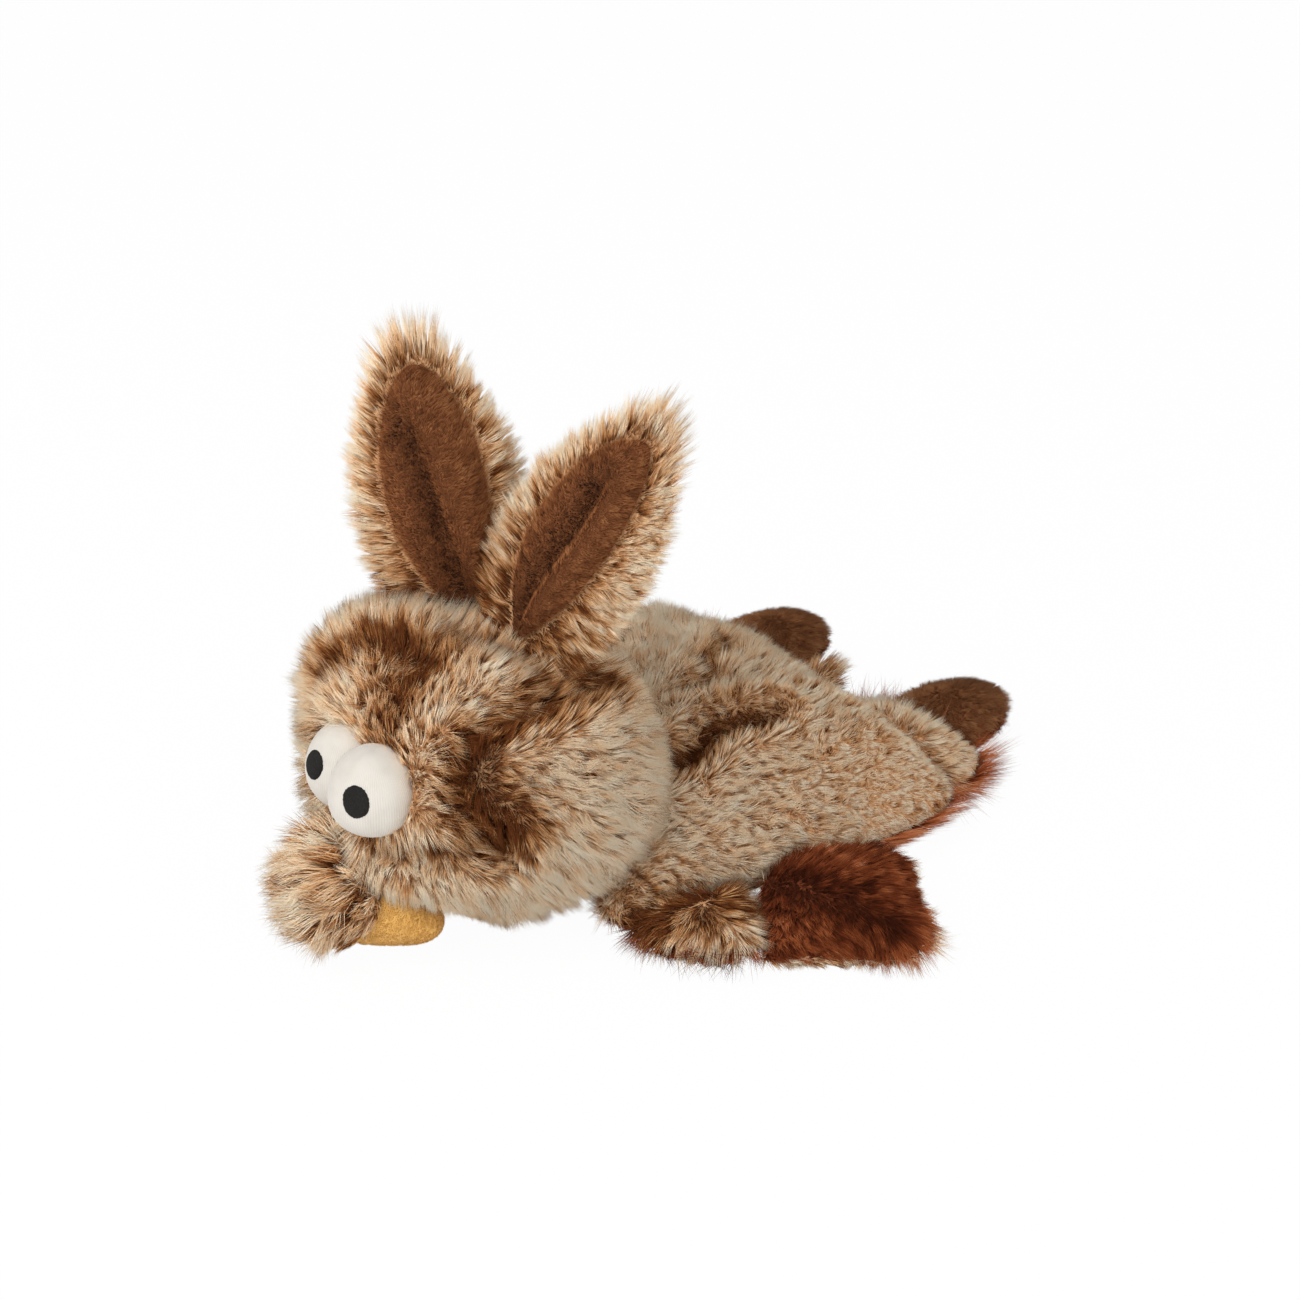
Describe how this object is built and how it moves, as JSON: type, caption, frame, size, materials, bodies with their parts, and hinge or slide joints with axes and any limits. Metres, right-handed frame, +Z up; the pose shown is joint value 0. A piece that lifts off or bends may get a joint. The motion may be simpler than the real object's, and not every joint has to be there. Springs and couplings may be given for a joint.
{
  "type": "plush treat dummy",
  "caption": "Flat-bodied plush hare lying on its belly, with a stuffed head, long floppy ears, twisting arms, turned-up soles and a treat pocket with a flap underneath.",
  "frame": {"origin": "on the floor, under the middle of the overall box", "axes": "+Z up, the face and the open arms toward -Y, the legs toward +Y, the hare's own left side toward +X"},
  "size_m": [0.3136, 0.3422, 0.2284],
  "materials": {
    "plush": "long mottled pile, tan with brown partings, matte",
    "russet_plush": "long russet pile, matte",
    "short_pile": "short dark brown pile, matte",
    "eye_jersey": "fine off-white jersey, matte",
    "pupil_cloth": "near-black cloth, matte",
    "chin_jersey": "fine mustard jersey, matte",
    "fibre_filling": "loose white polyester fibre",
    "pouch_lining": "thin brown woven lining",
    "hook_and_loop": "hook and loop tape",
    "squeaker_plastic": "thin pale plastic bulb"
  },
  "bodies": {
    "torso": {"back_panel": "plush", "belly_panel": "russet_plush", "body_filling": "fibre_filling", "treat_pouch": "pouch_lining", "loop_strip": "hook_and_loop"},
    "head": {"head_middle_panel": "plush", "left_cheek_panel": "plush", "right_cheek_panel": "plush", "head_filling": "fibre_filling", "squeaker": "squeaker_plastic", "muzzle": "plush", "chin": "chin_jersey", "left_eye": "eye_jersey", "right_eye": "eye_jersey", "left_pupil": "pupil_cloth", "right_pupil": "pupil_cloth"},
    "left_ear": {"left_ear_back": "plush", "left_ear_lining": "short_pile"},
    "right_ear": {"right_ear_back": "plush", "right_ear_lining": "short_pile"},
    "left_arm": {"left_arm_outer": "plush", "left_arm_inner": "russet_plush"},
    "right_arm": {"right_arm_outer": "plush", "right_arm_inner": "russet_plush"},
    "left_hand": {"left_hand_outer": "plush", "left_hand_inner": "russet_plush"},
    "right_hand": {"right_hand_outer": "plush", "right_hand_inner": "russet_plush"},
    "left_leg": {"left_leg_outer": "plush", "left_leg_inner": "russet_plush", "left_sole": "short_pile", "left_foot_back": "russet_plush"},
    "right_leg": {"right_leg_outer": "plush", "right_leg_inner": "russet_plush", "right_sole": "short_pile", "right_foot_back": "russet_plush"},
    "tail": {"tail": "plush"},
    "flap": {"pocket_flap": "russet_plush", "hook_strip": "hook_and_loop"}
  },
  "joints": [
    {"name": "head_nod", "type": "hinge", "parent": "torso", "child": "head", "pos_m": [-0.00321, -0.02556, 0.053], "axis": [-1, 0, 0], "range_deg": [0, 30]},
    {"name": "left_ear_flop", "type": "hinge", "parent": "head", "child": "left_ear", "pos_m": [0.00859, -0.07857, 0.11856], "axis": [0.97, 0.1289, -0.2062], "range_deg": [-20, 45], "stiffness_Nm_per_rad": 0.1},
    {"name": "right_ear_flop", "type": "hinge", "parent": "head", "child": "right_ear", "pos_m": [-0.01932, -0.07842, 0.11742], "axis": [0.6577, 0.7526, 0.0307], "range_deg": [-45, 15], "stiffness_Nm_per_rad": 0.1},
    {"name": "left_shoulder", "type": "hinge", "parent": "torso", "child": "left_arm", "pos_m": [0.07394, -0.05106, 0.013], "axis": [-0.2696, -0.963, 0], "range_deg": [-25, 40]},
    {"name": "right_shoulder", "type": "hinge", "parent": "torso", "child": "right_arm", "pos_m": [-0.07236, -0.05106, 0.013], "axis": [-0.2696, 0.963, 0], "range_deg": [-25, 40]},
    {"name": "left_wrist", "type": "hinge", "parent": "left_arm", "child": "left_hand", "pos_m": [0.10091, -0.03798, 0.013], "axis": [0.6947, 0.7193, 0], "range_deg": [-180, 30]},
    {"name": "right_wrist", "type": "hinge", "parent": "right_arm", "child": "right_hand", "pos_m": [-0.10231, -0.03395, 0.013], "axis": [-0.6691, 0.7431, 0], "range_deg": [-30, 180]},
    {"name": "left_hip", "type": "hinge", "parent": "torso", "child": "left_leg", "pos_m": [0.04479, 0.09009, 0.013], "axis": [1, 0, 0], "range_deg": [-30, 50]},
    {"name": "right_hip", "type": "hinge", "parent": "torso", "child": "right_leg", "pos_m": [-0.04321, 0.09009, 0.013], "axis": [1, 0, 0], "range_deg": [-30, 50]},
    {"name": "tail_flop", "type": "hinge", "parent": "torso", "child": "tail", "pos_m": [0.00079, 0.09009, 0.013], "axis": [1, 0, 0], "range_deg": [-10, 60], "stiffness_Nm_per_rad": 0.002},
    {"name": "pocket_flap", "type": "hinge", "parent": "torso", "child": "flap", "pos_m": [0.00079, -0.00191, 0.00015], "axis": [-1, 0, 0], "range_deg": [0, 120]}
  ]
}
